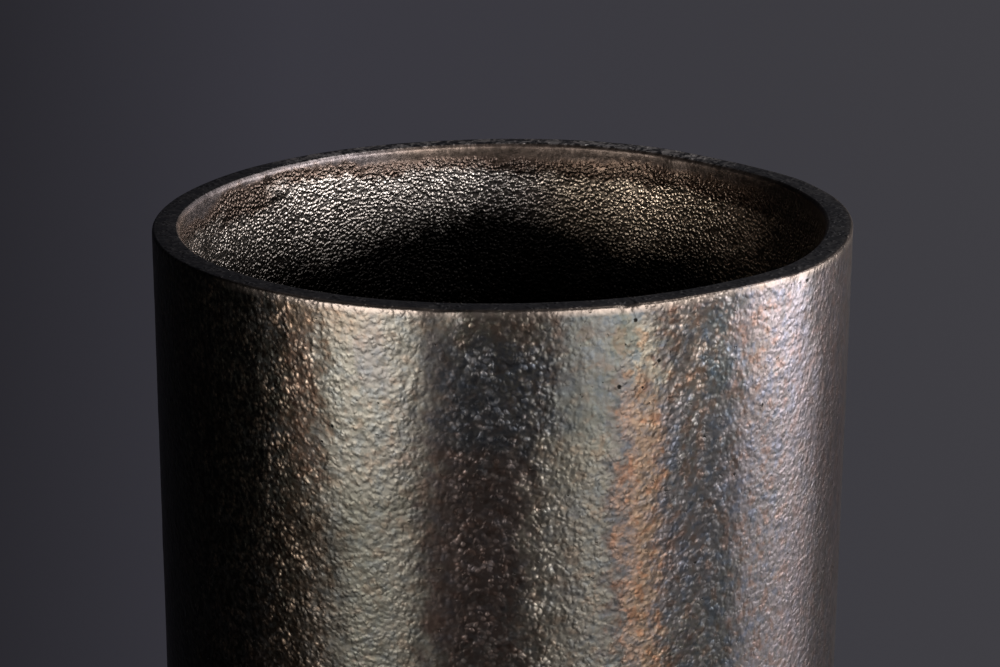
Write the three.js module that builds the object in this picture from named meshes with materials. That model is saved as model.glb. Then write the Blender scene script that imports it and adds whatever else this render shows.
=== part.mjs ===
// A metal vase: a plain round tube of cast iron, open at both ends as it leaves the sand,
// closed at the foot by a stepped base plate and stood on four felt pads.
// Millimetres, +Z up. The origin is on the resting plane, on the axis of the tube.

import * as THREE from 'three';

// Cast tube
const bodyDiameter = 120;
const bodyHeight = 279; // from the foot edge to the rim face
const wallThickness = 5.1;
const rimOuterRound = 0.8;
const rimInnerRound = 0.7;
const lipBandHeight = 3.8; // smooth ground band inside the mouth
const lipBandRelief = 0.3; // how far the band is ground back from the cast bore
const footChamfer = 1.0;

// Seat of the base plate in the foot of the tube
const rebateStep = 2.4; // how much wider the rebate is than the bore
const plateRecess = 2.5; // from the foot edge up to the underside of the plate
const fitGap = 0.3; // clearance wherever two pieces meet

// Base plate
const flangeThickness = 4.0;
const spigotClearance = 0.4; // between the spigot and the bore, on the radius
const spigotLand = 0.8; // straight part of the spigot above the flange
const spigotChamfer = 3.0; // slope that leaves a groove for the seal

// Brazed fillet under the plate and sealing bead above it
const brazeInset = 0.3; // from the foot edge up to the toe of the bronze
const sealRise = 1.4; // how far the bead climbs the wall above the plate
const hollowPull = 1 / 3; // how strongly their curved faces are drawn in towards the corner

// Felt pads
const padDiameter = 16;
const padProud = 1.0; // how far the pads stand below the foot edge
const padEdge = 0.4; // softened edge of a pad
const padCount = 4;
const padInset = 7; // from the inner edge of the bronze to the edge of a pad

// Facets of the round shapes
const ringSegments = 96;
const padSegments = 32;
const cornerSteps = 4;

// Sizes that follow from those above
const outerRadius = bodyDiameter / 2;
const boreRadius = outerRadius - wallThickness;
const lipRadius = boreRadius + lipBandRelief;
const rebateRadius = boreRadius + rebateStep;
const footHeight = padProud;
const rimHeight = footHeight + bodyHeight;
const plateUnderside = footHeight + plateRecess;
const flangeTop = plateUnderside + flangeThickness;
const shoulderHeight = flangeTop + fitGap;
const plateRadius = rebateRadius - fitGap;
const spigotRadius = boreRadius - spigotClearance;
const chamferStart = shoulderHeight + spigotLand;
const plateTop = chamferStart + spigotChamfer;
const floorRadius = spigotRadius - spigotChamfer;
const brazeLeg = plateRecess - fitGap - brazeInset;
const brazeRadius = rebateRadius - fitGap;
const padThickness = plateUnderside - fitGap;
const padCircleRadius = brazeRadius - brazeLeg - padInset - padDiameter / 2;

// Surface colours
const castIron = new THREE.MeshStandardMaterial({ color: 0x6f665f, roughness: 0.42, metalness: 1.0 });
const plateIron = new THREE.MeshStandardMaterial({ color: 0x3c3836, roughness: 0.55, metalness: 1.0 });
const brazeBronze = new THREE.MeshStandardMaterial({ color: 0x9c6f45, roughness: 0.4, metalness: 1.0 });
const sealCompound = new THREE.MeshStandardMaterial({ color: 0x1b1b1c, roughness: 0.6, metalness: 0.0 });
const padFelt = new THREE.MeshStandardMaterial({ color: 0x2b2b2d, roughness: 1.0, metalness: 0.0 });

// Points of an arc in a section, as radius and height, from one angle to another in degrees.
function arc(centreRadius, centreHeight, arcRadius, fromAngle, toAngle) {
  const points = [];
  for (let step = 0; step <= cornerSteps; step += 1) {
    const angle = THREE.MathUtils.degToRad(fromAngle + ((toAngle - fromAngle) * step) / cornerSteps);
    points.push([
      centreRadius + arcRadius * Math.cos(angle),
      centreHeight + arcRadius * Math.sin(angle),
    ]);
  }
  return points;
}

// Points of a hollow curve from one point to another, drawn in towards a third near the corner.
function hollowCurve(from, corner, to) {
  const curve = new THREE.QuadraticBezierCurve(
    new THREE.Vector2(...from),
    new THREE.Vector2(...corner),
    new THREE.Vector2(...to),
  );
  return curve.getPoints(cornerSteps).map((point) => [point.x, point.y]);
}

// A solid of revolution about Z from a section given as radius and height.
// A section that doesn't touch the axis is closed on itself.
function turned(section, segments) {
  const points = section.map(([radius, height]) => new THREE.Vector2(radius, height));
  const touchesAxis = points[0].x === 0;
  if (!touchesAxis) points.push(points[0].clone());
  const geometry = new THREE.LatheGeometry(points, segments);
  geometry.rotateX(Math.PI / 2);
  return geometry;
}

function named(name, geometry, material) {
  const mesh = new THREE.Mesh(geometry, material);
  mesh.name = name;
  return mesh;
}

// The cast tube, with its rounded rim, the ground band in the mouth and the rebate in the foot.
function makeCastBody() {
  const bandFoot = rimHeight - lipBandHeight;
  const section = [
    [rebateRadius, footHeight],
    [outerRadius - footChamfer, footHeight],
    [outerRadius, footHeight + footChamfer],
    ...arc(outerRadius - rimOuterRound, rimHeight - rimOuterRound, rimOuterRound, 0, 90),
    ...arc(lipRadius + rimInnerRound, rimHeight - rimInnerRound, rimInnerRound, 90, 180),
    [lipRadius, bandFoot],
    [boreRadius, bandFoot - lipBandRelief],
    [boreRadius, shoulderHeight],
    [rebateRadius, shoulderHeight],
  ];
  return named('cast_body', turned(section, ringSegments), castIron);
}

// The stepped disc that closes the foot: its flange lies in the rebate, and its spigot centres
// it in the bore. The slope at the spigot's edge holds the sealing bead.
function makeBasePlate() {
  const section = [
    [0, plateUnderside],
    [plateRadius, plateUnderside],
    [plateRadius, flangeTop],
    [spigotRadius, flangeTop],
    [spigotRadius, chamferStart],
    [floorRadius, plateTop],
    [0, plateTop],
  ];
  return named('base_plate', turned(section, ringSegments), plateIron);
}

// Bronze run all round the corner between the underside of the plate and the rebate.
function makeBrazeFillet() {
  const ceiling = plateUnderside - fitGap;
  const pull = brazeLeg * hollowPull;
  const section = [
    [brazeRadius, ceiling],
    ...hollowCurve(
      [brazeRadius - brazeLeg, ceiling],
      [brazeRadius - pull, ceiling - pull],
      [brazeRadius, ceiling - brazeLeg],
    ),
  ];
  return named('braze_fillet', turned(section, ringSegments), brazeBronze);
}

// Sealing compound in the groove between the spigot's slope and the bore, tooled hollow on top.
function makeSealBead() {
  const wall = boreRadius - fitGap;
  const slopeGap = fitGap * Math.SQRT2;
  const edgeRadius = floorRadius + slopeGap;
  const pull = sealRise * hollowPull;
  const surface = hollowCurve(
    [wall, plateTop + sealRise],
    [wall - pull, plateTop + pull],
    [edgeRadius, plateTop],
  );
  const section = [[wall, plateTop - (wall - edgeRadius)], ...surface];
  return named('seal_bead', turned(section, ringSegments), sealCompound);
}

// One round felt pad, from the resting plane up to the glue line under the plate.
function makePad(index) {
  const radius = padDiameter / 2;
  const section = [
    [0, 0],
    [radius - padEdge, 0],
    [radius, padEdge],
    [radius, padThickness],
    [0, padThickness],
  ];
  const pad = named(`felt_pad_${index + 1}`, turned(section, padSegments), padFelt);
  pad.position.x = padCircleRadius;
  const place = new THREE.Group();
  place.rotation.z = ((index + 0.5) * 2 * Math.PI) / padCount;
  place.add(pad);
  return place;
}

const vase = new THREE.Group();
vase.add(makeCastBody(), makeBasePlate(), makeBrazeFillet(), makeSealBead());
for (let index = 0; index < padCount; index += 1) vase.add(makePad(index));

export default vase;
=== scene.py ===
from math import cos, degrees, hypot, pi, radians, sin

import bmesh
import bpy
from mathutils import Euler, Matrix, Vector


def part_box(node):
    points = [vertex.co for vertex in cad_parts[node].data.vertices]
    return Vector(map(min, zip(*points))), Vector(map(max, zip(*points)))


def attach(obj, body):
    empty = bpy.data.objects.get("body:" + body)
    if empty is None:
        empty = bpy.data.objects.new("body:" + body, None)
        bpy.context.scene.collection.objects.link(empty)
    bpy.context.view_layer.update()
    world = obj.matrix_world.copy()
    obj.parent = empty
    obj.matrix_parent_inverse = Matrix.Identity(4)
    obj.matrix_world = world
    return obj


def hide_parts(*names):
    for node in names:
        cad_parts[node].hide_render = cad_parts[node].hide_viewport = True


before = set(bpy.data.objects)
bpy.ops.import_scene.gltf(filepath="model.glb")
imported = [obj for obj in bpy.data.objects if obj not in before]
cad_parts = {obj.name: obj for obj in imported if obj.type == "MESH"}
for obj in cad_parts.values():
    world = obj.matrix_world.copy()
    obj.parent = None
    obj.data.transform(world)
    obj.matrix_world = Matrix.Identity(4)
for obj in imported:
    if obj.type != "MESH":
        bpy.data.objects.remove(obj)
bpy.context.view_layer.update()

# Cast iron vase: a rough tube with a ground lip, closed by a plate brazed into its foot.
# Everything is in metres, +Z up, with the viewer on the -Y side.
print("vase: frame loaded with", len(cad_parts), "nodes")

mm = 0.001
fitGap = 0.3 * mm  # clearance wherever two pieces meet in the frame
touch = 0.02 * mm  # what is left of it where one piece was run or glued on to the next

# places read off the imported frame
bodyLow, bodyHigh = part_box("cast_body")
plateLow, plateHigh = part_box("base_plate")
sealLow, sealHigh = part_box("seal_bead")
brazeLow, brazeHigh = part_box("braze_fillet")
outerRadius = bodyHigh.x
boreRadius = sealHigh.x + fitGap
rebateRadius = plateHigh.x + fitGap
rimHeight = bodyHigh.z
footHeight = bodyLow.z


# a primitive at its size and place, alone in the selection
def startPiece(name, addPrimitive, **settings):
    bpy.ops.object.select_all(action="DESELECT")
    addPrimitive(**settings)
    piece = bpy.context.active_object
    piece.name = name
    piece.data.name = name
    bpy.ops.object.transform_apply(location=True, rotation=True, scale=True)
    return piece


def selectOnly(piece):
    bpy.ops.object.select_all(action="DESELECT")
    piece.select_set(True)
    bpy.context.view_layer.objects.active = piece


def openEdit(piece):
    selectOnly(piece)
    bpy.ops.object.mode_set(mode="EDIT")


def closeEdit():
    bpy.ops.object.mode_set(mode="OBJECT")


# selects the vertices, edges or faces whose middle passes the test
def pick(piece, kind, test):
    bpy.ops.mesh.select_mode(type=kind)
    bpy.ops.mesh.select_all(action="DESELECT")
    shape = bmesh.from_edit_mesh(piece.data)
    for part in {"VERT": shape.verts, "EDGE": shape.edges, "FACE": shape.faces}[kind]:
        if kind == "VERT":
            middle = part.co
        elif kind == "EDGE":
            middle = (part.verts[0].co + part.verts[1].co) / 2
        else:
            middle = part.calc_center_median()
        if test(middle):
            part.select_set(True)
    bmesh.update_edit_mesh(piece.data)


def pickAll():
    bpy.ops.mesh.select_all(action="SELECT")


# draws the selection out upwards, or downwards by a rise below 0
def extrudeUp(rise):
    bpy.ops.mesh.extrude_region_move(TRANSFORM_OT_translate={"value": (0, 0, rise)})


# makes the selection narrower about the axis, and leaves it at its height
def narrow(share, height):
    bpy.ops.transform.resize(value=(share, share, 1), center_override=(0, 0, height))


def roundOff(size, segments, affect="EDGES"):
    bpy.ops.mesh.bevel(affect=affect, offset=size, segments=segments, profile=0.5)


def near(value, target, reach=0.01 * mm):
    return abs(value - target) < reach


# cuts everything in the section with a plane, and leaves all its parts in place
def cutAt(point, normal):
    pickAll()
    bpy.ops.mesh.bisect(plane_co=point, plane_no=normal)


# a four-cornered section in the XZ plane, its corners given in turn as radius and height
def drawSection(name, corners):
    piece = startPiece(name, bpy.ops.mesh.primitive_plane_add, size=1)
    openEdit(piece)
    bpy.ops.transform.rotate(value=-pi / 2, orient_axis="X", center_override=(0, 0, 0))
    starts = [(-0.5, -0.5), (0.5, -0.5), (0.5, 0.5), (-0.5, 0.5)]
    for (fromX, fromZ), (radius, height) in zip(starts, corners):
        pick(piece, "VERT", lambda at: near(at.x, fromX) and near(at.z, fromZ))
        bpy.ops.transform.translate(value=(radius - fromX, 0, height - fromZ))
    return piece


# drops the section's faces, so that only its outline is left
def keepOutline():
    bpy.ops.mesh.select_mode(type="FACE")
    pickAll()
    bpy.ops.mesh.delete(type="ONLY_FACE")
    bpy.ops.mesh.select_mode(type="EDGE")


# turns an open edit mode section, drawn in the XZ plane, into a solid of revolution
def turnSection(columns):
    pickAll()
    bpy.ops.mesh.spin(steps=columns, angle=2 * pi, center=(0, 0, 0), axis=(0, 0, 1))
    pickAll()
    bpy.ops.mesh.remove_doubles(threshold=0.002 * mm)
    bpy.ops.mesh.normals_make_consistent(inside=False)


# a run that fills a corner all the way round, its open face drawn in round the hollow's point
def makeRun(name, corners, hollow, spec):
    piece = drawSection(name, corners)
    pick(piece, "VERT", lambda at: near(at.x, hollow[0]) and near(at.z, hollow[1]))
    roundOff(*spec["hollowRound"], "VERTICES")
    keepOutline()
    turnSection(spec["columns"])
    closeEdit()
    return piece


# divides the selected face into rings of that width, from its edge inwards
def insetRings(count, width):
    for ring in range(count):
        bpy.ops.mesh.inset(thickness=width)


def displace(piece, **settings):
    selectOnly(piece)
    modifier = piece.modifiers.new("displace", "DISPLACE")
    for key, value in settings.items():
        setattr(modifier, key, value)
    bpy.ops.object.modifier_apply(modifier=modifier.name)


# pushes a weighted group in and out by a cloud pattern, given as its size and height
def roughen(piece, name, cloud, group, depth=1, direction="NORMAL"):
    size, height = cloud
    pattern = bpy.data.textures.new(name, "CLOUDS")
    pattern.noise_scale = size
    pattern.noise_depth = depth
    displace(piece, texture=pattern, texture_coords="LOCAL", strength=height, mid_level=0.5,
             vertex_group=group, direction=direction)


# moves a weighted group by a fixed distance
def shift(piece, group, distance, direction):
    displace(piece, strength=distance, mid_level=0, vertex_group=group, direction=direction)


# a vertex group whose weight comes from a function of the vertex's place
def weigh(piece, name, weightAt):
    group = piece.vertex_groups.new(name=name)
    for vertex in piece.data.vertices:
        weight = weightAt(vertex.co)
        if weight > 0:
            group.add([vertex.index], min(weight, 1), "REPLACE")


# a number on each vertex that the finish can read
def mark(piece, name, valueAt):
    layer = piece.data.attributes.new(name, "FLOAT", "POINT")
    layer.data.foreach_set("value", [valueAt(vertex.co) for vertex in piece.data.vertices])


def ease(value, low, high):
    share = min(max((value - low) / (high - low), 0), 1)
    return share * share * (3 - 2 * share)


def radiusOf(at):
    return hypot(at.x, at.y)


# a point on the wall, its angle in degrees from the viewer's side towards +X
def wallPoint(angle, radius, height):
    turn = radians(angle)
    return Vector((radius * sin(turn), -radius * cos(turn), height))


def smoothShade(piece, angle=35):
    selectOnly(piece)
    bpy.ops.object.shade_smooth_by_angle(angle=radians(angle))


def settle(piece, node, finish):
    piece.data.materials.clear()
    piece.data.materials.append(finish)
    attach(piece, "root")
    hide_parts(node)


# one output socket of a node tree; sums on it add Math nodes
class Wire:
    def __init__(self, board, socket):
        self.board = board
        self.socket = socket

    def __add__(self, other):
        return self.board.maths("ADD", self, other)

    def __radd__(self, other):
        return self.board.maths("ADD", other, self)

    def __sub__(self, other):
        return self.board.maths("SUBTRACT", self, other)

    def __rsub__(self, other):
        return self.board.maths("SUBTRACT", other, self)

    def __mul__(self, other):
        return self.board.maths("MULTIPLY", self, other)

    def __rmul__(self, other):
        return self.board.maths("MULTIPLY", other, self)

    def __truediv__(self, other):
        return self.board.maths("DIVIDE", self, other)

    def __neg__(self):
        return self.board.maths("MULTIPLY", self, -1.0)


# the node tree of a material or a world
class Board:
    def __init__(self, owner):
        self.owner = owner
        owner.use_nodes = True
        self.tree = owner.node_tree
        self.tree.nodes.clear()

    def add(self, kind, settings, inputs, output=0):
        node = self.tree.nodes.new(kind)
        for key, value in settings.items():
            if key == "stops":
                self.setStops(node.color_ramp, value)
            else:
                setattr(node, key, value)
        for key, value in inputs.items():
            if isinstance(value, Wire):
                self.tree.links.new(value.socket, node.inputs[key])
            else:
                node.inputs[key].default_value = value
        return Wire(self, node.outputs[output]) if node.outputs else node

    def setStops(self, ramp, stops):
        while len(ramp.elements) < len(stops):
            ramp.elements.new(0.5)
        for element, (place, colour) in zip(ramp.elements, stops):
            element.position = place
            element.color = (*colour, 1)

    def maths(self, operation, *values):
        return self.add("ShaderNodeMath", {"operation": operation}, dict(enumerate(values)))

    # the piece's own coordinates, in millimetres
    def place(self):
        spot = self.add("ShaderNodeTexCoord", {}, {}, "Object")
        return self.add("ShaderNodeVectorMath", {"operation": "SCALE"}, {0: spot, "Scale": 1 / mm})

    def stretch(self, vector, factors):
        return self.add("ShaderNodeVectorMath", {"operation": "MULTIPLY"}, {0: vector, 1: factors})

    def split(self, vector):
        return [self.add("ShaderNodeSeparateXYZ", {}, {0: vector}, axis) for axis in range(3)]

    # noise whose grains are about that many millimetres across
    def noise(self, vector, size, detail, roughness=0.5):
        values = {"Vector": vector, "Scale": 1 / size, "Detail": detail, "Roughness": roughness}
        return self.add("ShaderNodeTexNoise", {}, values, "Fac")

    # coordinates wandering by up to about that far, so that cells read from them turn out uneven
    def bend(self, vector, size, reach):
        values = {"Vector": vector, "Scale": 1 / size, "Detail": 1.0}
        sway = self.add("ShaderNodeTexNoise", {}, values, "Color")
        sway = self.add("ShaderNodeVectorMath", {"operation": "SCALE"}, {0: sway, "Scale": reach})
        return self.add("ShaderNodeVectorMath", {"operation": "ADD"}, {0: vector, 1: sway})

    # rounded cells about that many millimetres across, 0 in their middles
    def cells(self, vector, size, smoothness):
        values = {"Vector": vector, "Scale": 1 / size, "Smoothness": smoothness}
        return self.add("ShaderNodeTexVoronoi", {"feature": "SMOOTH_F1"}, values, "Distance")

    def mark(self, name):
        return self.add("ShaderNodeAttribute", {"attribute_name": name}, {}, "Fac")

    # 0 below low, 1 above high, eased between; low may be the larger
    def step(self, value, low, high):
        ends = {"Value": value, "From Min": low, "From Max": high}
        if low > high:
            ends.update({"From Min": high, "From Max": low, "To Min": 1.0, "To Max": 0.0})
        return self.add("ShaderNodeMapRange", {"interpolation_type": "SMOOTHSTEP"}, ends)

    # 1 between two values, fading out over that width on either side
    def between(self, value, low, high, width):
        return self.step(value, low - width, low + width) * self.step(value, high + width, high - width)

    # 1 in a round spot of that size about a point, 0 outside
    def dot(self, spot, middle, size):
        away = self.add("ShaderNodeVectorMath", {"operation": "DISTANCE"}, {0: spot, 1: middle}, "Value")
        return self.step(away, size, size * 0.35)

    def mix(self, share, first, second, blend="MIX"):
        settings = {"data_type": "RGBA", "blend_type": blend}
        return self.add("ShaderNodeMix", settings, {0: share, 6: rgba(first), 7: rgba(second)}, 2)

    def ramp(self, value, stops):
        return self.add("ShaderNodeValToRGB", {"stops": stops}, {0: value})

    # a colour made lighter or darker, its hue kept
    def dim(self, colour, share):
        return self.add("ShaderNodeVectorMath", {"operation": "SCALE"}, {0: colour, "Scale": share})

    # height in millimetres to a normal
    def bump(self, height):
        return self.add("ShaderNodeBump", {}, {"Strength": 1.0, "Distance": mm, "Height": height})

    def surface(self, inputs):
        shader = self.add("ShaderNodeBsdfPrincipled", {}, inputs)
        self.add("ShaderNodeOutputMaterial", {}, {"Surface": shader})
        return self.owner


def rgba(colour):
    return colour if isinstance(colour, Wire) else (*colour, 1)


def newFinish(name):
    return Board(bpy.data.materials.new(name))


# The tube
castBody = {
    "columns": 384,
    "skinRoom": 0.2 * mm,  # how far the mean skin lies inside the frame's outer face and rim
    "lipHeight": 3.2 * mm,
    "lipRelief": 0.3 * mm,
    "lipFade": 1.4 * mm,  # over which the ground lip runs out into the cast bore
    "outerRound": 0.55 * mm,
    "innerRound": 1.0 * mm,
    "footChamfer": 1.0 * mm,
    "flange": 4.0 * mm,  # thickness of the plate's edge, which the foot holds
    "fineOuter": 64 * mm,  # depth of the closely divided skin below the rim, outside
    "fineInner": 36 * mm,  # and inside
    "fineRow": 1.0 * mm,
    "coarseRowOuter": 2.3 * mm,
    "coarseRowInner": 8 * mm,
    "swell": (46 * mm, 0.30 * mm),  # size and height of the slow unevenness
    "lumps": (6.5 * mm, 0.24 * mm),
    "grain": (2.3 * mm, 0.20 * mm),
    "outerShare": 0.4,  # of that roughness on the outside, where the sand was finer
    "lipWander": (7 * mm, 1.6 * mm),  # of the ground lip's border
    "rimWave": (22 * mm, 0.30 * mm),
    "rimTilt": 1.25 * mm,  # how much lower the rim is at the left than at the right
    "rimEnd": 26 * mm,  # depth in which the rim's wave dies away
    "tiltEnd": 90 * mm,  # and its tilt
    "rimCuts": 3,  # across the rim's flat
    "footCalm": 3 * mm,  # height above the foot in which the outer roughness comes up
    "rimCalm": (1.6 * mm, 0.6),  # depth below the rim in which it eases off, and by what share
    "boreShare": 0.75,  # of the roughness in the bore
    "boreCalm": (2 * mm, 8 * mm),  # heights above the plate between which that comes up
    "lipCalm": (0.5 * mm, 0.8),  # how soon below the ground lip it eases off, and by what share
    "bandEdge": (0.4 * mm, 2.2 * mm),  # how near the lip's border it wanders in full, and at all
    "wearDepth": 0.4 * mm,  # how far the worn edge reaches below its rounding
    "wearFade": (-0.1 * mm, 0.35 * mm),  # across the rounding, from no wear to full
    "flatDepths": (0.3 * mm, 0.05 * mm),  # below the rim, between which the marked flat comes up
    "flatEdge": 0.2 * mm,
}
# Knocks and casting faults: angle from the viewer in degrees, whether inside, and in mm the depth
# below the rim, the reach, and the push inwards and upwards
rimNicks = [
    (18.6, False, 0.2, 1.7, (0.55, -0.45)),
    (-9.0, False, 0.2, 2.6, (0.25, -0.20)),
    (52.0, False, 0.3, 3.5, (0.30, -0.25)),
    (62.0, False, 0.2, 22.0, (0, -0.55)),
    (132.0, False, 0.2, 18.0, (0, -0.50)),
    (231.5, True, 4.4, 2.0, (-0.60, 0)),
    (229.0, True, 5.0, 1.6, (0.55, 0.20)),
    (233.5, True, 3.0, 2.2, (0.35, 0)),
    (145.0, True, 4.5, 4.0, (0.40, 0)),
]


def makeCastSection(spec):
    outer = outerRadius - spec["skinRoom"]
    rim = rimHeight - spec["skinRoom"]
    lip = boreRadius + spec["lipRelief"]
    bandFoot = rimHeight - spec["lipHeight"]
    shoulder = plateLow.z + spec["flange"] + fitGap
    corners = [(boreRadius, shoulder), (outer, shoulder), (outer, bandFoot), (boreRadius, bandFoot)]
    piece = drawSection("castTube", corners)

    # split the wall where the ground lip and the rebate begin, then draw both ends out
    cutAt((lip, 0, 0), (1, 0, 0))
    cutAt((rebateRadius, 0, 0), (1, 0, 0))
    pick(piece, "EDGE", lambda at: near(at.z, bandFoot) and at.x > lip)
    extrudeUp(rim - bandFoot)
    pick(piece, "EDGE", lambda at: near(at.z, shoulder) and at.x > rebateRadius)
    extrudeUp(footHeight - shoulder)
    bpy.ops.mesh.select_mode(type="FACE")
    pickAll()
    bpy.ops.mesh.dissolve_limited(angle_limit=radians(1))
    pick(piece, "VERT", lambda at: near(at.z, bandFoot) and near(at.x, boreRadius))
    bpy.ops.transform.translate(value=(0, 0, -spec["lipFade"]))

    # round the rim's two edges and break the foot's
    rounds = [
        (outer, rim, spec["outerRound"], 5),
        (lip, rim, spec["innerRound"], 7),
        (outer, footHeight, spec["footChamfer"], 2),
    ]
    for radius, height, size, segments in rounds:
        pick(piece, "VERT", lambda at: near(at.x, radius) and near(at.z, height))
        roundOff(size, segments, "VERTICES")

    # the outline is cut into rows that are close near the rim
    keepOutline()
    cutAt((0, 0, rimHeight - spec["fineOuter"]), (0, 0, 1))
    cutAt((0, 0, rimHeight - spec["fineInner"]), (0, 0, 1))
    divideRows(piece, outer, footHeight, rimHeight - spec["fineOuter"], spec["coarseRowOuter"])
    divideRows(piece, outer, rimHeight - spec["fineOuter"], rim, spec["fineRow"])
    divideRows(piece, boreRadius, shoulder, rimHeight - spec["fineInner"], spec["coarseRowInner"])
    divideRows(piece, boreRadius, rimHeight - spec["fineInner"], bandFoot - spec["lipFade"], spec["fineRow"])
    divideRows(piece, lip, bandFoot, rim, spec["fineRow"])
    pick(piece, "EDGE", lambda at: near(at.z, rim) and lip < at.x < outer)
    bpy.ops.mesh.subdivide(number_cuts=spec["rimCuts"])
    return piece


# subdivides the upright edges at that radius between two heights into rows of about that size
def divideRows(piece, radius, low, high, row):
    shape = bmesh.from_edit_mesh(piece.data)
    lengths = []
    for edge in shape.edges:
        ends = [vertex.co for vertex in edge.verts]
        if all(near(end.x, radius) and low - 0.01 * mm < end.z < high + 0.01 * mm for end in ends):
            lengths.append((edge.calc_length(), (ends[0] + ends[1]) / 2))
    for length, middle in lengths:
        cuts = round(length / row) - 1
        if cuts > 0:
            pick(piece, "EDGE", lambda at: (at - middle).length < 0.001 * mm)
            bpy.ops.mesh.subdivide(number_cuts=cuts)


# pushes a small stretch of skin in or out, as a knock or a casting fault leaves it
def pressNick(piece, nick, outer, bore):
    angle, inside, depth, reach, (push, lift) = nick
    middle = wallPoint(angle, bore if inside else outer, rimHeight - depth * mm)
    outward = wallPoint(angle, 1, 0)
    pick(piece, "VERT", lambda at: (at - middle).length < 0.6 * mm + reach * mm * 0.15)
    bpy.ops.transform.translate(
        value=-outward * push * mm + Vector((0, 0, lift * mm)),
        use_proportional_edit=True, proportional_edit_falloff="SMOOTH", proportional_size=reach * mm,
    )


def makeCastBody(spec, finish):
    piece = makeCastSection(spec)
    turnSection(spec["columns"])
    closeEdit()
    rim = rimHeight - spec["skinRoom"]
    outer = outerRadius - spec["skinRoom"]
    lip = boreRadius + spec["lipRelief"]
    bandFoot = rimHeight - spec["lipHeight"]

    # what the finish needs to know of the plain shape: worn edge, rim's flat, inside and depth
    def edgeWear(at):
        across = radiusOf(at) - (outer - spec["outerRound"])
        up = at.z - (rim - spec["outerRound"] - spec["wearDepth"])
        return ease(min(across, up), *spec["wearFade"])

    def rimFlat(at):
        across = min(radiusOf(at) - lip, outer - spec["outerRound"] * 0.5 - radiusOf(at))
        start, full = spec["flatDepths"]
        return ease(at.z, rim - start, rim - full) * ease(across, 0, spec["flatEdge"])

    def inside(at):
        return 1 if radiusOf(at) < lip + spec["innerRound"] * 0.7 else 0

    mark(piece, "edgeWear", edgeWear)
    mark(piece, "rimFlat", rimFlat)
    mark(piece, "inside", inside)
    mark(piece, "belowRim", lambda at: (rim - at.z) / mm)

    # full roughness on the cast skin, little on ground faces, none where the plate is seated
    def skinWeight(at):
        if radiusOf(at) > outer - 0.1 * mm:
            reach, loss = spec["rimCalm"]
            calm = ease(at.z, footHeight, footHeight + spec["footCalm"])
            return spec["outerShare"] * (calm * (1 - loss * ease(at.z, rim - reach, rim)))
        reach, loss = spec["lipCalm"]
        calm = 1 - loss * ease(at.z, bandFoot - spec["lipFade"] - reach, bandFoot)
        start, full = spec["boreCalm"]
        return spec["boreShare"] * calm * ease(at.z, plateHigh.z + start, plateHigh.z + full)

    def bandEdge(at):
        return 1 - ease(abs(at.z - bandFoot), *spec["bandEdge"]) if radiusOf(at) < lip + 0.1 * mm else 0

    def leftEnd(at):
        return ease(at.z, rimHeight - spec["tiltEnd"], rimHeight) * (0.5 - at.x / outer / 2) ** 2

    weigh(piece, "castSkin", skinWeight)
    weigh(piece, "bandEdge", bandEdge)
    weigh(piece, "rimEnd", lambda at: ease(at.z, rimHeight - spec["rimEnd"], rimHeight))
    weigh(piece, "leftEnd", leftEnd)
    roughen(piece, "lipWander", spec["lipWander"], "bandEdge", direction="Z")
    for name in ("swell", "lumps", "grain"):
        roughen(piece, name, spec[name], "castSkin")
    roughen(piece, "rimWave", spec["rimWave"], "rimEnd", depth=0, direction="Z")
    shift(piece, "leftEnd", -spec["rimTilt"], "Z")
    openEdit(piece)
    for nick in rimNicks:
        pressNick(piece, nick, outer, boreRadius)
    closeEdit()
    smoothShade(piece, 60)
    settle(piece, "cast_body", finish)


# Tones of the tube, as the metal's own reflectance, apart from the painted shade tones noted below
castTones = {
    "oxide": (0.010, 0.009, 0.008),
    # painted shade for the left flank, given as black scale and soot
    "flankShadeBlack": (0.008, 0.0075, 0.007),
    "scale": (0.020, 0.0145, 0.0108),
    # painted shade: the black the bore turns to below where the lamps reach
    "boreShadeBlack": (0.008, 0.007, 0.0065),
    "umber": (0.085, 0.067, 0.057),
    "maroon": (0.070, 0.048, 0.042),
    "tan": (0.200, 0.140, 0.098),
    "bronze": (0.066, 0.049, 0.035),
    "cream": (0.240, 0.205, 0.158),
    "champagne": (0.210, 0.188, 0.155),
    "olive": (0.110, 0.106, 0.082),
    "silver": (0.110, 0.107, 0.101),
    "copper": (0.246, 0.162, 0.120),
    "amber": (0.216, 0.151, 0.100),
    "rust": (0.130, 0.070, 0.050),
    "rose": (0.100, 0.080, 0.075),
    "lilac": (0.305, 0.255, 0.268),
    "lavender": (0.270, 0.250, 0.290),
    "slate": (0.135, 0.120, 0.122),
    "teal": (0.066, 0.086, 0.096),
    "gunBlue": (0.045, 0.048, 0.054),
    "mauve": (0.176, 0.138, 0.138),
    "edge": (0.275, 0.220, 0.184),
    "rimDark": (0.036, 0.035, 0.037),
    "rimLight": (0.400, 0.365, 0.350),
    "core": (0.890, 0.785, 0.715),
    "coreGold": (0.950, 0.745, 0.555),
    "scorch": (0.130, 0.075, 0.052),
    "lipRose": (0.460, 0.390, 0.385),
    "lipBrown": (0.320, 0.240, 0.195),
    "coolTint": (0.720, 0.820, 0.945),
    "plainTint": (0.930, 0.925, 0.910),
    "warmTint": (1.000, 0.800, 0.680),
}

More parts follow.
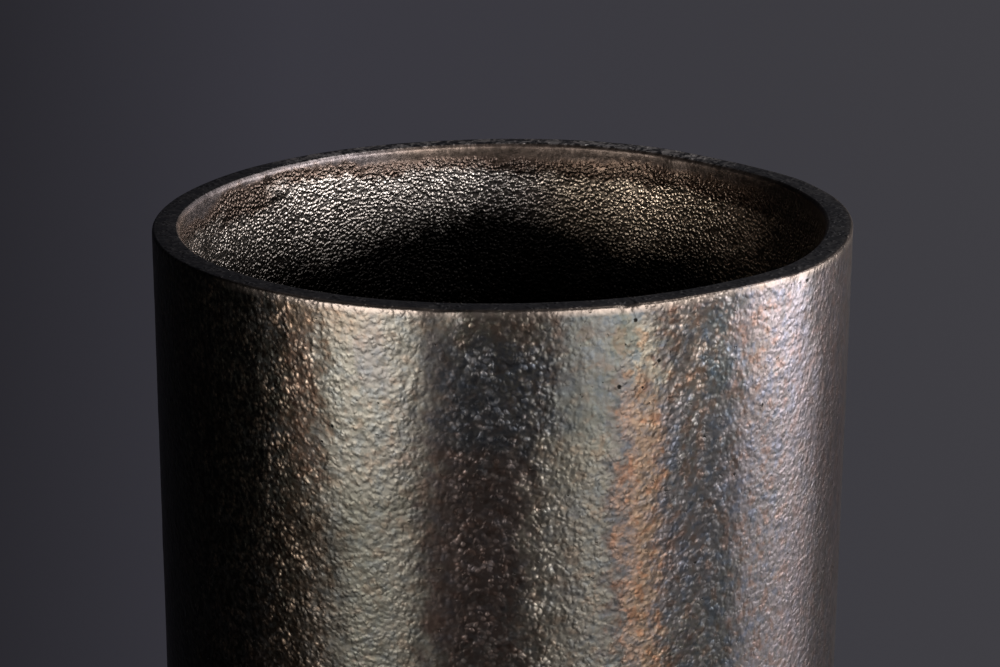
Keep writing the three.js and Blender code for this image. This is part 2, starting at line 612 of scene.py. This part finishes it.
# Heat tints, laid one over another: angle and half width in degrees from the viewer's side, the
# depths below the rim between which it lies in mm, and how much of the ground it covers
wholeWall = (-9, 300)  # from above the rim to below the foot
heatPatches = [
    ("champagne", -21, 12, wholeWall, 0.90),
    ("slate", -20, 2.5, (3, 13), 0.45),
    ("olive", -17, 8, (30, 300), 0.60),
    # painted shade: these two make the left flank black, where no lamp's reflection falls
    ("scale", -73, 42, wholeWall, 0.95),
    ("flankShadeBlack", -80, 41, wholeWall, 0.96),
    ("bronze", -31.5, 4, wholeWall, 0.82),
    # painted shade on the lower left, darker towards the bottom
    ("scale", -32, 8, (34, 300), 0.75),
    ("tan", -23, 4, (1, 5), 0.45),
    ("rust", -31.5, 2.5, (4, 30), 0.30),
    ("tan", -29, 5, (-9, 4), 0.55),
    ("umber", 0, 10, wholeWall, 0.85),
    ("gunBlue", 0, 8.5, (4, 24), 0.85),
    ("champagne", -14, 3.5, (36, 300), 0.60),
    ("maroon", -4, 7, (24, 300), 0.60),
    ("silver", 12, 5.5, wholeWall, 0.90),
    ("olive", 11, 3, (14, 30), 0.40),
    ("cream", 11, 6, (20, 300), 0.45),
    ("slate", 31.5, 8.5, wholeWall, 0.80),
    ("rose", 19, 3.0, (10, 300), 0.50),
    ("copper", 22, 3.0, (16, 300), 0.85),
    ("cream", 22.3, 2.2, (4, 13), 0.85),
    ("amber", 22.3, 1.5, (12, 300), 0.55),
    ("umber", 26, 2.2, (2, 18), 0.70),
    ("rust", 27, 7, (-9, 1.8), 0.50),
    ("tan", 29.5, 1.6, (3, 16), 0.45),
    ("teal", 34.5, 2.8, (3, 7), 0.75),
    ("teal", 35.5, 3.2, (10, 16), 0.70),
    ("copper", 36.5, 1.8, (5, 8), 0.60),
    ("lilac", 47, 8.5, wholeWall, 0.90),
    ("teal", 40, 7, (20, 300), 0.28),
    ("tan", 42, 2.5, (6, 24), 0.35),
    ("lavender", 53, 2.2, (4, 24), 0.55),
    ("mauve", 68, 12, wholeWall, 0.85),
    ("lilac", 57, 3.5, (14, 300), 0.60),
]

# Pinholes left by gas in the sand: angle in degrees, depth below the rim and size in mm
pinholes = [
    (12.8, 1.0, 0.36), (19.8, 3.0, 0.38), (21.5, 1.1, 0.30), (54.5, 2.6, 0.40),
    (23.7, 9.9, 0.42), (17.4, 13.4, 0.42), (-26.0, 21.0, 0.32), (38.0, 31.0, 0.34),
]

# Zones round the tube, in degrees from the viewer's side: from, to, and the width of the fade
castZones = {
    # the next three: zones between the lamps' reflections, with grainier relief and stronger painted
    # highlights on the tips
    "gritGlintLeft": (-39, -28, 4),
    "gritGlintFront": (-8, 8, 2.5),
    "gritGlintRight": (24, 37, 4),
    "satinLeft": (-12, -6, 2),
    "satinRight": (9, 17, 3),
    # painted highlights on the tips on the dark left
    "paintedGlints": (-58, -28, 8),
    "tinted": (16, 50, 6),
    # where the rim's painted highlight is fainter
    "fainterEdgeHighlight": (-9, 6, 3),
    "lapLip": (-148, -112, 6),
    "burntLap": (-130, -112, 4),
    "roseLip": (-156, -95, 8),
    # painted shade on the left of the bore
    "paintedShadeLeft": (-136, -100, 6),
    # painted shade on the near right of the bore
    "shadedNearRight": (60, 122, 9),
    "rightBore": (95, 168, 6),
    "goldBore": (95, 172, 8),
    "glint": (143, 156, 5),
    # where the bore's painted shade starts deeper
    "deeperLitBore": (150, 170, 5),
}

# Patterns: size in mm, how many finer layers they have, and what those weigh
castPatterns = {
    "drift": (26, 3.0, 0.6),
    "broad": (4.5, 1.0, 0.5),
    "mottle": (3.2, 3.0, 0.6),
    "tint": (2.3, 2.0, 0.6),
    "clumps": (1.9, 1.0, 0.5),
    "pits": (1.3, 2.0, 0.6),
    "grit": (1.2, 0.4, 0.5),
    "speck": (0.9, 2.0, 0.6),
    "grain": (0.9, 1.0, 0.5),
    "grinding": (0.55, 1.0, 0.5),
    "fine": (0.30, 1.0, 0.5),
}

# Heights of the relief in mm; the sandy ones are what is added in sandy patches
castRelief = {
    "grit": 0.07, "sandyGrit": 0.06, "domes": 0.018, "sandyDomes": 0.045, "grain": 0.03,
    "broad": 0.06, "pits": 0.10, "pebbles": 0.115, "boreGrain": 0.10, "boreBroad": 0.12,
    "grinding": 0.05, "lipBroad": 0.10, "lipTips": 0.03, "rimTips": 0.14, "fine": 0.005,
}

# Shares in the tone, much of it painted light and shade: outside as far as nearRim, in the bore from scorch
# on
castShares = {
    "ground": 0.82, "tips": 0.35, "gritGlintTips": 2.10, "dimples": 0.22, "paintedGlints": 0.45,
    "farDown": 0.84, "nearRim": 0.32, "scorch": 0.85, "paintedShadeLeft": 0.35, "paintedShadeRight": 0.45,
    "paintedShadeFar": 0.50, "glint": 0.45, "nearRightShade": 0.8,
}


def castFinish():
    board = newFinish("castSkin")
    tones = castTones
    high = castRelief
    shares = castShares
    spot = board.place()
    x, y = board.split(spot)[:2]
    angle = board.maths("ARCTAN2", x, -y) * degrees(1)
    depth = board.mark("belowRim")
    wear = board.mark("edgeWear")
    flat = board.mark("rimFlat")
    inside = board.mark("inside")
    outside = 1 - inside
    zone = {name: board.between(angle, *ends) for name, ends in castZones.items()}

    # patterns, from slow drifts down to single grains of sand
    drift = board.noise(board.stretch(spot, (1, 1, 0.45)), *castPatterns["drift"])
    broad = board.noise(spot, *castPatterns["broad"])
    mottle = board.noise(spot, *castPatterns["mottle"])
    speck = board.noise(spot, *castPatterns["speck"])
    grain = board.noise(spot, *castPatterns["grain"])
    fine = board.noise(spot, *castPatterns["fine"])
    grit = board.noise(board.stretch(spot, (1, 1, 1.15)), *castPatterns["grit"])
    domes = board.step(board.cells(board.bend(spot, 1.3, 0.8), 0.86, 0.4), 0.68, 0.12)
    tips = domes * board.step(board.noise(spot, *castPatterns["clumps"]), 0.40, 0.62)
    pebbles = board.step(board.cells(board.bend(spot, 1.2, 0.6), 0.64, 0.2), 0.75, 0.15)
    dimples = board.step(grit, 0.42, 0.28)
    satin = zone["satinLeft"] + zone["satinRight"] * board.step(depth, 26, 16)
    # zones between the lamps' reflections: grainier relief, and stronger painted highlights on the tips
    gritGlint = zone["gritGlintFront"] + zone["gritGlintRight"] * (1 - 0.35 * board.step(depth, 20, 34))
    gritGlint = gritGlint + zone["gritGlintLeft"]
    sandy = (0.5 + 0.5 * gritGlint) * (0.4 + 0.6 * board.step(broad * 0.6 + mottle * 0.4, 0.43, 0.55))
    pits = board.step(board.noise(spot, *castPatterns["pits"]), 0.70, 0.80)
    for pinAngle, pinDepth, pinSize in pinholes:
        middle = wallPoint(pinAngle, outerRadius - castBody["skinRoom"], rimHeight - pinDepth * mm) / mm
        pits = board.maths("MAXIMUM", pits, board.dot(spot, middle, pinSize))
    lipEdge = depth + (mottle - 0.5) * 3.5 + (speck - 0.5) * 2 + (drift - 0.5) * 4
    lipEdge = lipEdge + 1.3 * zone["lapLip"]
    lip = board.step(lipEdge, 4.0, 2.2) * inside

    # relief, in millimetres
    lumpy = domes * (high["domes"] + high["sandyDomes"] * sandy)
    outerRelief = grit * (high["grit"] + high["sandyGrit"] * sandy) + lumpy + grain * high["grain"]
    outerRelief = outerRelief * (1 - 0.5 * satin) + broad * high["broad"] - pits * high["pits"]
    innerRelief = pebbles * high["pebbles"] + grain * high["boreGrain"] + broad * high["boreBroad"]
    ground = board.noise(board.stretch(spot, (1, 1, 0.3)), *castPatterns["grinding"]) * high["grinding"]
    ground = ground + broad * high["lipBroad"] + tips * high["lipTips"]
    relief = (outerRelief * outside + innerRelief * inside) * (1 - lip) * (1 - flat)
    relief = relief + ground * lip + tips * flat * high["rimTips"] + fine * high["fine"]

    # heat tints: a drifting ground tone with speckled patches laid over it
    outerTone = board.ramp(
        drift * 0.75 + mottle * 0.25,
        [(0.36, tones["umber"]), (0.44, tones["olive"]), (0.52, tones["silver"]),
         (0.60, tones["rose"]), (0.68, tones["slate"])],
    )
    ragged = angle + (mottle - 0.5) * 13 + (drift - 0.5) * 8
    sunk = depth + (mottle - 0.5) * 14 + (drift - 0.5) * 10
    grainy = 0.55 + 0.45 * board.step(speck, 0.40, 0.58)
    for name, middle, half, depths, share in heatPatches:
        cover = board.between(ragged, middle - half, middle + half, min(half * 0.35, 4))
        if depths != wholeWall:
            cover = cover * board.between(sunk, *depths, 3)
        outerTone = board.mix(cover * grainy * share, outerTone, tones[name])

    # small cool and warm tints, strongest on the right of the front
    tint = board.ramp(
        board.noise(spot, *castPatterns["tint"]),
        [(0.36, tones["coolTint"]), (0.46, tones["plainTint"]), (0.54, tones["plainTint"]),
         (0.64, tones["warmTint"])],
    )
    tinted = 0.50 + 0.50 * zone["tinted"]
    outerTone = board.mix(tinted, outerTone, tint, "MULTIPLY")

    # painted highlights: warm glints on the tips on the dark left, and tips brighter than the ground;
    # painted shade: dimples darker, and the tone darker towards the bottom
    paintedGlints = tips * sandy * zone["paintedGlints"]
    outerTone = board.mix(paintedGlints * shares["paintedGlints"], outerTone, tones["tan"])
    shade = shares["ground"] + (shares["tips"] + shares["gritGlintTips"] * gritGlint) * tips * sandy
    shade = shade - shares["dimples"] * dimples * (1 - 0.6 * satin)
    shade = shade * (shares["farDown"] + shares["nearRim"] * board.step(depth, 34, 2))
    outerTone = board.dim(outerTone, shade)

    # the cored bore: bright bare grains under a scorched band, and painted shade that turns it black further
    # down
    farSide = 180 - board.maths("ABSOLUTE", angle)  # degrees from the middle of the far wall
    turn = farSide * board.maths("SIGN", angle)  # the same, negative towards the left
    right = zone["rightBore"]
    scorch = board.step(lipEdge, 1.8, 3.2) * board.step(lipEdge - 1.2 * right, 6.2, 4.4)
    burnt = zone["burntLap"] * board.between(lipEdge, 3.5, 9, 1.2)
    scorch = board.maths("MAXIMUM", scorch, burnt)
    innerTone = board.mix(zone["goldBore"], tones["core"], tones["coreGold"])
    lipTone = board.mix(zone["roseLip"], tones["lipBrown"], tones["lipRose"])
    stains = board.step(speck * 0.5 + mottle * 0.5, 0.38, 0.62)
    lipTone = board.dim(lipTone, (0.62 + 0.70 * stains) * (1 - 0.35 * board.step(depth, 0.8, 1.6)))
    # painted shade in the creases between the bore's grains, and stains on them
    innerTone = board.mix(lip, board.dim(innerTone, 0.50 + 0.35 * pebbles + 0.50 * stains), lipTone)
    innerTone = board.mix(scorch * shares["scorch"], innerTone, tones["scorch"])
    bare = 1 - board.maths("MAXIMUM", lip, scorch)
    # painted shade and light round the bore: darker on the left, the right and the middle of the far wall,
    # where the lamps' reflections miss, with a painted glint of golden grains right of the middle
    paintedBoreLight = 1 - shares["paintedShadeLeft"] * zone["paintedShadeLeft"] - shares["paintedShadeRight"] * right
    paintedBoreLight = paintedBoreLight - shares["paintedShadeFar"] * board.between(turn, -4, 13, 5) * (1 - 0.6 * lip)
    paintedBoreLight = paintedBoreLight + shares["glint"] * zone["glint"] * bare
    innerTone = board.dim(innerTone, paintedBoreLight)
    # painted shade: black below a depth that varies round the wall, and on the near right of the bore, where
    # no lamp reaches
    reach = 10 + board.maths("MINIMUM", farSide, 38.0) * 0.24 + 2.5 * zone["deeperLitBore"]
    paintedBoreShade = (depth + (mottle - 0.5) * 9 + (speck - 0.5) * 6 + (drift - 0.5) * 8 - 5) / reach
    paintedBoreShade = board.maths("MAXIMUM", board.step(paintedBoreShade, 0, 1), zone["shadedNearRight"] * shares["nearRightShade"])
    innerTone = board.mix(paintedBoreShade, innerTone, tones["boreShadeBlack"])
    tone = board.mix(inside, outerTone, innerTone)

    # dark oxide in the pits, chips in the rim's flat with a painted highlight gathered on the far side,
    # clean metal on the worn edge with a painted highlight kept off the left
    tone = board.mix(pits * (1 - lip), tone, tones["oxide"])
    chipsAndFarGlints = board.step(speck * 0.6 + mottle * 0.4, 0.44, 0.58)
    # painted highlight: the chips are brightest on the far side of the rim
    chipsAndFarGlints = chipsAndFarGlints * (0.12 + 0.88 * board.step(farSide, 55, 35))
    tone = board.mix(flat, tone, board.mix(chipsAndFarGlints, tones["rimDark"], tones["rimLight"]))
    wornEdgeHighlight = wear * outside * board.step(mottle * 0.6 + speck * 0.4, 0.32, 0.46)
    # painted highlight: the worn edge is bright only away from the left flank, fainter in the middle and on
    # the right
    wornEdgeHighlight = wornEdgeHighlight * board.step(angle, -52, -26) * (1 - 0.55 * zone["fainterEdgeHighlight"])
    wornEdgeHighlight = wornEdgeHighlight * (1 - 0.35 * board.step(angle, 28, 38))
    tone = board.mix(wornEdgeHighlight, tone, tones["edge"])

    gloss = 0.32 + 0.10 * mottle + 0.15 * pits + inside * (0.15 * lip - 0.07) + 0.10 * flat
    return board.surface({
        "Base Color": tone,
        "Metallic": 1.0,
        "Roughness": gloss,
        "Normal": board.bump(relief),
    })


print("vase: tube")
makeCastBody(castBody, castFinish())


# The plate that closes the foot: a flange in the rebate and a spigot in the bore
basePlate = {
    "columns": 192,
    "flange": 4.0 * mm,
    "spigot": boreRadius - 0.4 * mm,
    "spigotLand": 0.8 * mm,
    "spigotChamfer": 3.0 * mm,
    "edgeBreak": 0.35 * mm,
    "topRings": (3, 12 * mm),  # how many rings of faces the floor has, and their width
    "underRings": (3, 15 * mm),  # and the underside
    "centreHole": (1.6 * mm, 1.1 * mm),  # radius and depth of the lathe's centre mark below
    "centreTip": 0.1,  # width of the mark's tip, as a share of its mouth
    "patches": (9, 3.0, 0.6),  # patterns, given as the tube's are
    "fine": (0.5, 2.0),
    "wobble": (1.1, 2.0),
    "feed": 11,  # radians per mm from one mark of the facing tool to the next
    "black": (0.055, 0.051, 0.049),
    "bare": (0.200, 0.188, 0.178),
    "straw": (0.200, 0.130, 0.060),
    "heatBlue": (0.050, 0.062, 0.115),
    "grime": (0.020, 0.018, 0.017),
    "strawRing": (44, 50, 2.5),  # radii in mm between which it lies, and its fade
    "blueRing": (50, 54, 2),
}


def makeBasePlate(spec, finish):
    low = plateLow.z
    flangeTop = low + spec["flange"]
    piece = startPiece("footPlate", bpy.ops.mesh.primitive_cylinder_add, vertices=spec["columns"],
                       radius=plateHigh.x, depth=spec["flange"], location=(0, 0, low + spec["flange"] / 2))
    openEdit(piece)
    pick(piece, "FACE", lambda at: near(at.z, flangeTop))
    bpy.ops.mesh.inset(thickness=plateHigh.x - spec["spigot"])
    extrudeUp(fitGap + spec["spigotLand"])
    extrudeUp(spec["spigotChamfer"])
    narrow(1 - spec["spigotChamfer"] / spec["spigot"], plateHigh.z)
    insetRings(*spec["topRings"])

    # the underside, with the centre mark
    markRadius, markDepth = spec["centreHole"]
    pick(piece, "FACE", lambda at: near(at.z, low))
    rings, width = spec["underRings"]
    insetRings(rings, width)
    bpy.ops.mesh.inset(thickness=2 * mm)
    narrow(markRadius / (plateHigh.x - rings * width), low)
    extrudeUp(markDepth)
    narrow(spec["centreTip"], low + markDepth)
    floorEdge = spec["spigot"] - spec["spigotChamfer"] - 0.1 * mm

    def corner(at):
        sides = near(radiusOf(at), plateHigh.x, 0.05 * mm) and (near(at.z, low) or near(at.z, flangeTop))
        return sides or (near(at.z, plateHigh.z) and radiusOf(at) > floorEdge)

    pick(piece, "EDGE", corner)
    roundOff(spec["edgeBreak"], 3)
    pickAll()
    bpy.ops.mesh.normals_make_consistent(inside=False)
    closeEdit()
    smoothShade(piece, 30)
    settle(piece, "base_plate", finish)


def plateFinish(spec):
    board = newFinish("blackenedPlate")
    spot = board.place()
    x, y = board.split(spot)[:2]
    radius = board.maths("SQRT", x * x + y * y)
    patches = board.noise(spot, *spec["patches"])
    fine = board.noise(spot, *spec["fine"])
    feed = board.maths("SINE", radius * spec["feed"] + patches * 1.5)
    wobble = board.noise(board.stretch(spot, (0.15, 0.15, 1)), *spec["wobble"])
    relief = feed * 0.012 + wobble * 0.03 + fine * 0.015 + patches * 0.05
    heat = radius + (patches - 0.5) * 12
    tone = board.mix(board.step(patches, 0.42, 0.62) * 0.5, spec["black"], spec["bare"])
    tone = board.mix(board.between(heat, *spec["strawRing"]) * 0.55, tone, spec["straw"])
    tone = board.mix(board.between(heat, *spec["blueRing"]) * 0.7, tone, spec["heatBlue"])
    tone = board.mix(board.step(fine, 0.36, 0.28) * 0.8, tone, spec["grime"])
    return board.surface({
        "Base Color": tone,
        "Metallic": 1.0,
        "Roughness": 0.30 + 0.25 * patches + 0.05 * feed,
        "Normal": board.bump(relief),
    })


print("vase: foot plate")
makeBasePlate(basePlate, plateFinish(basePlate))


# Bronze run round the corner between the plate and the tube, in overlapping ripples
brazeRun = {
    "columns": 640,
    "hollow": (0.9 * mm, 0.9 * mm),  # how far the face's middle lies from the corner of the joint
    "hollowRound": (0.75 * mm, 6),  # size and segments
    "ripples": 150,
    "rippleHeight": 0.09 * mm,
    "unevenness": (4.5 * mm, 0.22 * mm),
    "openFade": (0.02 * mm, 0.5 * mm),  # in from the joint, to where the face is quite open
    "patches": (5, 3.0, 0.6),
    "speck": (0.6, 2.0, 0.6),
    "fluxSpots": (1.6, 2.0),
    "bronze": (0.62, 0.40, 0.19),
    "copperRed": (0.46, 0.20, 0.11),
    "burnt": (0.10, 0.065, 0.060),
    "flux": (0.045, 0.040, 0.036),
}


def makeBrazeFillet(spec, finish):
    wall = rebateRadius - touch
    ceiling = plateLow.z - touch
    inX, inZ = spec["hollow"]
    hollow = (wall - inX, ceiling - inZ)
    toe = (brazeHigh.x - (brazeHigh.z - brazeLow.z), ceiling)
    corners = [hollow, (wall, brazeLow.z), (wall, ceiling), toe]
    piece = makeRun("brazeRun", corners, hollow, spec)

    # weight on the open face only: fullest in its middle, rippled along the run
    def openFace(at):
        return ease(min(wall - radiusOf(at), ceiling - at.z), *spec["openFade"])

    def ripple(at):
        turn = Vector((at.x, at.y)).angle_signed(Vector((1, 0)), 0)
        lean = (ceiling - at.z) / mm * 0.5
        return openFace(at) * (0.5 + 0.5 * sin(turn * spec["ripples"] + lean))

    weigh(piece, "openFace", openFace)
    weigh(piece, "ripple", ripple)
    roughen(piece, "brazeUneven", spec["unevenness"], "openFace")
    shift(piece, "ripple", -spec["rippleHeight"], "NORMAL")
    smoothShade(piece, 50)
    settle(piece, "braze_fillet", finish)


def brazeFinish(spec):
    board = newFinish("brazeBronze")
    spot = board.place()
    patches = board.noise(spot, *spec["patches"])
    speck = board.noise(spot, *spec["speck"])
    tone = board.ramp(patches, [(0.34, spec["burnt"]), (0.44, spec["copperRed"]), (0.55, spec["bronze"])])
    flux = board.step(board.noise(spot, *spec["fluxSpots"]), 0.62, 0.70)
    tone = board.mix(flux * 0.85, tone, spec["flux"])
    tone = board.mix(board.step(speck, 0.40, 0.30) * 0.6, tone, spec["burnt"])
    return board.surface({
        "Base Color": tone,
        "Metallic": 1.0 - 0.9 * flux,
        "Roughness": 0.24 + 0.25 * speck + 0.1 * patches,
        "Normal": board.bump(speck * 0.05 + patches * 0.1 + flux * 0.06),
    })


print("vase: braze")
makeBrazeFillet(brazeRun, brazeFinish(brazeRun))


# Sealing compound in the groove between the spigot's slope and the bore
sealBead = {
    "columns": 320,
    "hollow": (0.85 * mm, 0.95 * mm),  # how far the tooled face's middle lies from the bore and its top
    "hollowRound": (0.8 * mm, 5),
    "unevenness": (6 * mm, 0.20 * mm),
    "wallFade": (0.05 * mm, 0.6 * mm),  # in from the bore, to where the face is quite open
    "floorFade": 0.3 * mm,  # and up from the floor
    "drag": (2.5, 3.0, 0.6),
    "dusting": (0.7, 3.0, 0.65),
    "black": (0.022, 0.022, 0.024),
    "dust": (0.075, 0.068, 0.060),
}


def makeSealBead(spec, finish):
    wall = boreRadius - touch
    inX, inZ = spec["hollow"]
    hollow = (wall - inX, sealHigh.z - inZ)
    edge = (wall - (plateHigh.z - sealLow.z), plateHigh.z + touch)
    corners = [edge, (wall, sealLow.z), (wall, sealHigh.z), hollow]
    piece = makeRun("sealRun", corners, hollow, spec)

    def openFace(at):
        above = ease(at.z, plateHigh.z, plateHigh.z + spec["floorFade"])
        return ease(wall - radiusOf(at), *spec["wallFade"]) * above

    weigh(piece, "openFace", openFace)
    roughen(piece, "sealUneven", spec["unevenness"], "openFace")
    smoothShade(piece, 50)
    settle(piece, "seal_bead", finish)


def sealFinish(spec):
    board = newFinish("sealCompound")
    spot = board.place()
    drag = board.noise(board.stretch(spot, (1, 1, 3)), *spec["drag"])  # marks of the tooling finger
    dust = board.step(board.noise(spot, *spec["dusting"]), 0.50, 0.72)
    return board.surface({
        "Base Color": board.mix(dust * 0.6, spec["black"], spec["dust"]),
        "Roughness": 0.38 + 0.30 * dust + 0.1 * drag,
        "Normal": board.bump(drag * 0.12 + dust * 0.02),
    })


print("vase: seal")
makeSealBead(sealBead, sealFinish(sealBead))


# Felt pads, cut from pressed wool sheet and glued under the plate
feltPad = {
    "sides": 72,
    "trim": 0.12 * mm,  # how far the cut edge lies inside the frame's pad
    "edgeRound": 0.45 * mm,
    "rings": 6,
    "ringWidth": 1.15 * mm,
    "sideRows": 6,
    "fuzz": (0.9 * mm, 0.20 * mm),
    "fuzzReach": 1.2 * mm,  # how far in from the cut side it starts
    "fuzzFade": 0.5 * mm,  # over which it stops short of the pad's two faces
    "strands": (0.16, 2.0),
    "strandRatio": 0.16,  # of a strand's width to its length
    "clumps": (1.4, 3.0, 0.6),
    "dark": (0.020, 0.020, 0.022),
    "fibre": (0.095, 0.093, 0.096),
    "dye": (0.045, 0.044, 0.047),
}


def makePad(spec, finish):
    low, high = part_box("felt_pad_1")
    middle = (low + high) / 2
    top = plateLow.z - touch
    radius = feltRadius() - spec["trim"]
    piece = startPiece("feltPad1", bpy.ops.mesh.primitive_cylinder_add, vertices=spec["sides"],
                       radius=radius, depth=top, location=(middle.x, middle.y, top / 2))
    openEdit(piece)
    pick(piece, "EDGE", lambda at: near(at.z, 0))
    roundOff(spec["edgeRound"], 3)
    for height in (0, top):
        pick(piece, "FACE", lambda at: near(at.z, height))
        insetRings(spec["rings"], spec["ringWidth"])
        bpy.ops.mesh.poke()
    pick(piece, "EDGE", lambda at: spec["edgeRound"] < at.z < top - 0.1 * mm)
    bpy.ops.mesh.subdivide(number_cuts=spec["sideRows"] - 1)
    closeEdit()

    # fuzz on the cut side; the face on the table stays flat
    def cutSide(at):
        out = hypot(at.x - middle.x, at.y - middle.y)
        upper = ease(at.z, top, top - spec["fuzzFade"])
        return ease(out, radius - spec["fuzzReach"], radius) * ease(at.z, 0, spec["fuzzFade"]) * upper

    weigh(piece, "cutSide", cutSide)
    roughen(piece, "feltFuzz", spec["fuzz"], "cutSide", depth=2)
    smoothShade(piece, 50)
    piece.data.materials.append(finish)
    return piece


def feltRadius():
    low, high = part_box("felt_pad_1")
    return (high.x - low.x) / 2


def placePads(spec, finish):
    first = makePad(spec, finish)
    pads = [first]
    for index in (2, 3, 4):
        selectOnly(first)
        bpy.ops.object.duplicate()
        pad = bpy.context.active_object
        pad.name = "feltPad" + str(index)
        pad.data.name = pad.name
        bpy.ops.transform.rotate(value=-(index - 1) * pi / 2, orient_axis="Z", center_override=(0, 0, 0))
        bpy.ops.object.transform_apply(location=True, rotation=True, scale=True)
        pads.append(pad)
    for pad in pads:
        middle = sum((vertex.co for vertex in pad.data.vertices), Vector()) / len(pad.data.vertices)
        for index in (1, 2, 3, 4):
            low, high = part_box("felt_pad_" + str(index))
            if ((low + high) / 2 - middle).xy.length < 2 * mm:
                settle(pad, "felt_pad_" + str(index), finish)


def feltFinish(spec):
    board = newFinish("padFelt")
    spot = board.place()
    ratio = spec["strandRatio"]
    across = board.noise(board.stretch(spot, (1, ratio, 1)), *spec["strands"])
    along = board.noise(board.stretch(spot, (ratio, 1, 1)), *spec["strands"])
    strands = board.maths("MAXIMUM", across, along)
    clumps = board.noise(spot, *spec["clumps"])
    tone = board.mix(board.step(clumps, 0.35, 0.65), spec["dark"], spec["dye"])
    tone = board.mix(board.step(strands, 0.58, 0.74) * 0.7, tone, spec["fibre"])
    return board.surface({
        "Base Color": tone,
        "Roughness": 0.96,
        "Sheen Weight": 0.25,
        "Sheen Roughness": 0.5,
        "Normal": board.bump(strands * 0.10 + clumps * 0.14),
    })


print("vase: felt pads")
placePads(feltPad, feltFinish(feltPad))


# Stage: a round pale table, a dark studio round it, soft panels and the camera
studio = {
    "tableRadius": 0.26,
    "tableThick": 0.02,
    "tableRound": 0.006,
    "tableTone": (0.74, 0.73, 0.71),
    "tableShade": (0.68, 0.67, 0.65),
    "tablePatches": (40, 3.0),
    "tableGrain": (1.2, 2.0),
    "lampAim": (0, 0, 0.2),
}
# the backdrop's tone, from far left to far right of the viewer, by the sine of the direction
backdrop = [
    (-1.00, (0.0040, 0.0040, 0.0050)), (-0.35, (0.0120, 0.0115, 0.0150)), (-0.19, (0.0220, 0.0212, 0.0265)),
    (-0.08, (0.0410, 0.0398, 0.0505)), (0.10, (0.0460, 0.0447, 0.0530)), (0.20, (0.0500, 0.0485, 0.0560)),
]
# azimuth from the viewer's side towards +X, distance from the axis, lowest and highest edge, radiance
panels = [
    {"name": "leftPanel", "azimuth": -42, "far": 1.0, "span": (-0.03, 0.56), "wide": 0.46, "glow": 7.4},
    {"name": "leftFill", "azimuth": -42, "far": 1.0, "span": (-0.50, -0.03), "wide": 0.46, "glow": 0.8},
    {"name": "rightPanel", "azimuth": 36, "far": 1.0, "span": (-0.09, 0.70), "wide": 0.45, "glow": 6.0},
    {"name": "rightFill", "azimuth": 36, "far": 1.0, "span": (-0.50, -0.09), "wide": 0.45, "glow": 1.3},
    {"name": "sidePanel", "azimuth": 95, "far": 1.0, "span": (-0.03, 0.76), "wide": 0.58, "glow": 6.6},
    {"name": "sideFill", "azimuth": 95, "far": 1.0, "span": (-0.50, -0.03), "wide": 0.58, "glow": 1.0},
    {"name": "highPanel", "azimuth": 125, "far": 0.80, "span": (1.00, 1.60), "wide": 0.7, "glow": 3.0},
]
viewer = {
    "lens": 94.8, "sensor": 36, "reach": 439.4 * mm, "above": 110.1 * mm,
    "rimLower": 0.40 * mm,  # how far the middle of the uneven rim lies below the frame's top
    "pitch": 16.69, "yaw": -0.045, "roll": 0.22,
}


def tableFinish():
    board = newFinish("paleTable")
    spot = board.place()
    patches = board.noise(spot, *studio["tablePatches"])
    tone = board.mix(patches, studio["tableTone"], studio["tableShade"])
    relief = board.noise(spot, *studio["tableGrain"]) * 0.02
    return board.surface({"Base Color": tone, "Roughness": 0.75, "Normal": board.bump(relief)})


def makeTable():
    thick = studio["tableThick"]
    table = startPiece("paleTable", bpy.ops.mesh.primitive_cylinder_add, vertices=128,
                       radius=studio["tableRadius"], depth=thick, location=(0, 0, -thick / 2))
    openEdit(table)
    pick(table, "EDGE", lambda at: near(at.z, 0))
    roundOff(studio["tableRound"], 4)
    closeEdit()
    smoothShade(table)
    table.data.materials.append(tableFinish())


def hangPanel(panel):
    low, high = panel["span"]
    at = wallPoint(panel["azimuth"], panel["far"], (low + high) / 2)
    bpy.ops.object.select_all(action="DESELECT")
    bpy.ops.object.light_add(type="AREA", location=at)
    lamp = bpy.context.active_object
    lamp.name = panel["name"]
    lamp.rotation_euler = (Vector(studio["lampAim"]) - at).to_track_quat("-Z", "Y").to_euler()
    lamp.data.shape = "RECTANGLE"
    lamp.data.size = panel["wide"]
    lamp.data.size_y = high - low
    lamp.data.energy = panel["glow"] * pi * panel["wide"] * (high - low)
    lamp.visible_camera = False


def placeCamera():
    height = rimHeight - viewer["rimLower"] + viewer["above"]
    bpy.ops.object.select_all(action="DESELECT")
    bpy.ops.object.camera_add(location=(0, -viewer["reach"], height))
    camera = bpy.context.active_object
    camera.name = "viewer"
    aim = Euler((radians(90 - viewer["pitch"]), 0, radians(-viewer["yaw"]))).to_matrix()
    camera.rotation_euler = (aim @ Matrix.Rotation(radians(viewer["roll"]), 3, "Z")).to_euler()
    camera.data.lens = viewer["lens"]
    camera.data.sensor_width = viewer["sensor"]
    camera.data.clip_start = 0.01
    bpy.context.scene.camera = camera


def hangBackdrop():
    world = bpy.data.worlds.new("darkStudio")
    bpy.context.scene.world = world
    board = Board(world)
    direction = board.add("ShaderNodeTexCoord", {}, {}, "Generated")
    across = board.split(direction)[0]
    tone = board.ramp(across * 0.5 + 0.5, [(place * 0.5 + 0.5, tone) for place, tone in backdrop])
    light = board.add("ShaderNodeBackground", {}, {"Color": tone, "Strength": 1.0})
    board.add("ShaderNodeOutputWorld", {}, {"Surface": light})


print("vase: studio")
makeTable()
for panel in panels:
    hangPanel(panel)
hangBackdrop()
placeCamera()
bpy.context.scene.view_settings.view_transform = "Standard"
